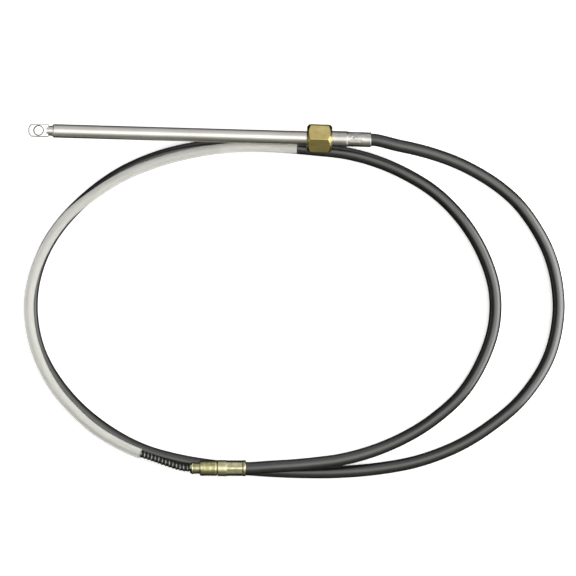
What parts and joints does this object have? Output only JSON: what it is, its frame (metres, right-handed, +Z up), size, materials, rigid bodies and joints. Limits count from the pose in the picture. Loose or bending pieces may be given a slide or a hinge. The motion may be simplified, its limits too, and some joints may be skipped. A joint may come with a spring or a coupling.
{
  "type": "boat steering cable",
  "caption": "Mechanical boat steering cable: steel ram with an eye and a brass nut, black conduit in two loose turns, brass helm fitting, wound core in a clear guard tube.",
  "frame": {"origin": "on the floor, under the middle of the cable's outline", "axes": "+X along the ram towards the conduit, +Z up from the floor that the turns lie on"},
  "size_m": [0.6372, 0.4174, 0.0488],
  "materials": {
    "ram_steel": "satin ground stainless tube, grain along it",
    "eye_steel": "bright pressed stainless",
    "nut_brass": "satin milled brass",
    "sleeve_steel": "crimped bright stainless",
    "guide_steel": "drawn stainless tube",
    "black_jacket": "satin black extruded plastic",
    "helm_brass": "turned brass, darker in the thread",
    "ferrule_brass": "crimped satin brass",
    "core_wire": "oiled dark steel wire, wound",
    "milky_tube": "translucent milky plastic"
  },
  "bodies": {
    "cable": {"output_sleeve": "sleeve_steel", "guide_tube": "guide_steel", "conduit": "black_jacket", "helm_hub": "helm_brass", "helm_ferrule": "ferrule_brass", "core": "core_wire", "core_guard_tube": "milky_tube"},
    "ram": {"ram_tube": "ram_steel", "ram_eye": "eye_steel"},
    "nut": {"coupling_nut": "nut_brass"}
  },
  "joints": [
    {"name": "ram_slide", "type": "slide", "parent": "cable", "child": "ram", "axis": [-1, 0, 0], "range_m": [0, 0.2286]},
    {"name": "nut_spin", "type": "hinge", "parent": "cable", "child": "nut", "pos_m": [0.0091, 0.1924, 0.0305], "axis": [1, 0, 0], "continuous": true}
  ]
}
